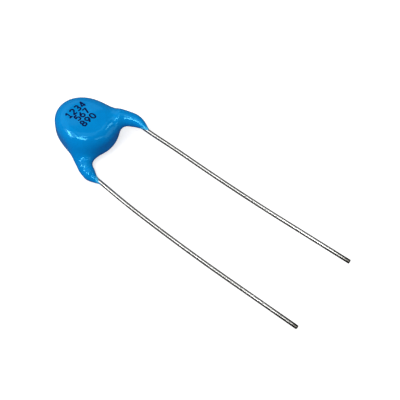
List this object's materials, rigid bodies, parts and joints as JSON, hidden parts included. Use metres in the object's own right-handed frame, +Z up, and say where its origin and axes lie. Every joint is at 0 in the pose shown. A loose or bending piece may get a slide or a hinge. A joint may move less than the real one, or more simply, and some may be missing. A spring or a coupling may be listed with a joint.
{
  "type": "ceramic disc capacitor",
  "caption": "High-voltage ceramic disc capacitor: flat round body dipped in glossy blue epoxy, with two coated legs and two long straight tinned wire leads.",
  "frame": {"origin": "on the surface it lies on, under the middle of its bounding box", "axes": "+Z up from that surface, through the disc's thickness; +Y lengthwise from the lead tips towards the coated body; +X across, towards the lead that is soldered to the upper face"},
  "size_m": [0.014, 0.049, 0.0051],
  "materials": {
    "epoxy": "glossy",
    "ceramic": "matt",
    "silver": "satin",
    "solder": "satin",
    "tinned_wire": "bright"
  },
  "bodies": {
    "root": {"epoxy_coating": "epoxy", "ceramic_disc": "ceramic", "front_electrode": "silver", "rear_electrode": "silver", "front_solder_joint": "solder", "rear_solder_joint": "solder", "right_lead": "tinned_wire", "left_lead": "tinned_wire"}
  },
  "joints": []
}
